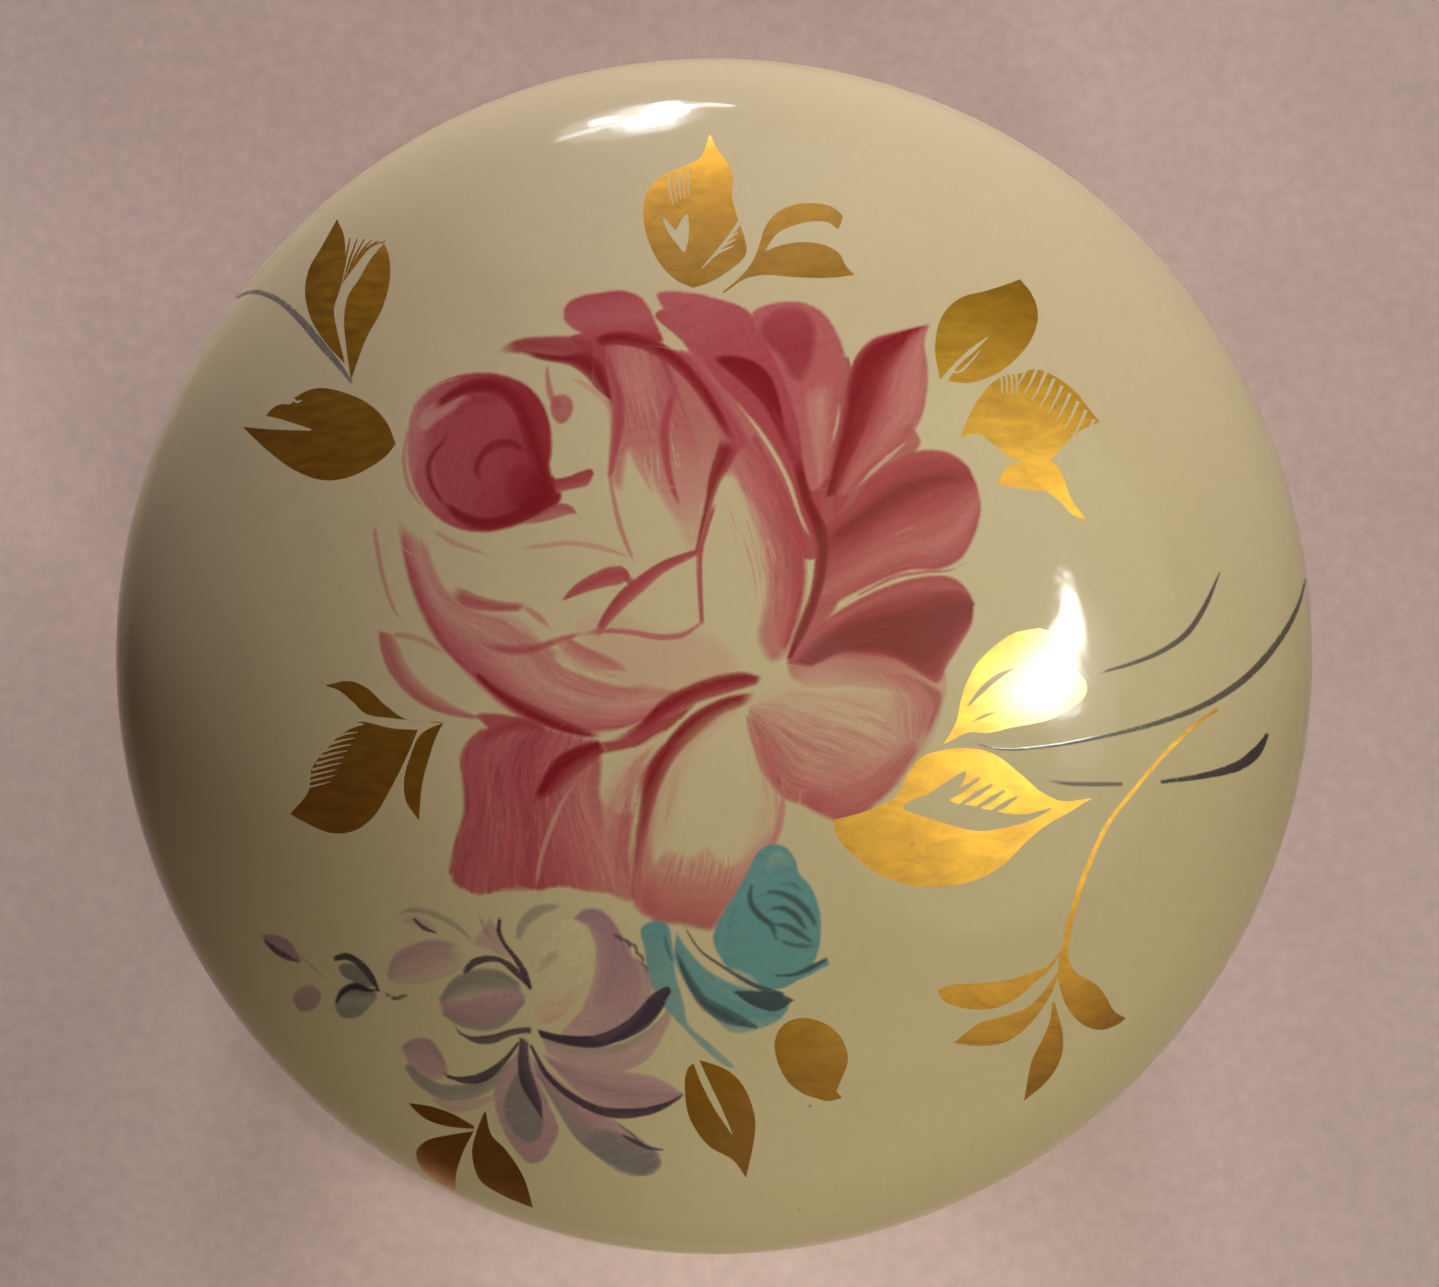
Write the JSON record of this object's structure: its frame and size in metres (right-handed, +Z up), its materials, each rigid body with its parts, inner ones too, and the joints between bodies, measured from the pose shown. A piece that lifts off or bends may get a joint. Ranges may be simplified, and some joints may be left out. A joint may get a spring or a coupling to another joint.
{
  "type": "powder jar",
  "caption": "Low round porcelain powder jar with an overhanging domed lift-off lid painted with flowers, holding loose powder and a ribbon-topped velour puff.",
  "frame": {"origin": "centre of the foot ring's resting plane, which is the bottom centre of the box", "axes": "+Z up along the jar's turning axis; +X to the right and +Y to the top of the painted design as seen from above; +X also runs along the puff's ribbon"},
  "size_m": [0.1, 0.1, 0.0635],
  "materials": {
    "glazed_porcelain": "gloss",
    "painted_porcelain": "gloss",
    "face_powder": "matte",
    "padding": "matte",
    "velour": "matte",
    "satin": "satin",
    "piping": "satin",
    "ribbon": "satin"
  },
  "bodies": {
    "jar": {"jar_body": "glazed_porcelain", "powder": "face_powder"},
    "lid": {"lid": "painted_porcelain"},
    "puff": {"puff_core": "padding", "puff_face": "velour", "puff_back": "satin", "puff_piping": "piping", "puff_ribbon": "ribbon"}
  },
  "joints": [
    {"name": "lid_lift", "type": "slide", "parent": "jar", "child": "lid", "axis": [0, 0, 1], "range_m": [0, 0.12]},
    {"name": "puff_lift", "type": "slide", "parent": "jar", "child": "puff", "axis": [0, 0, 1], "range_m": [0, 0.06]}
  ],
  "couplings": [
    {"joint": "puff_lift", "follows": "lid_lift", "ratio": 0.5}
  ]
}
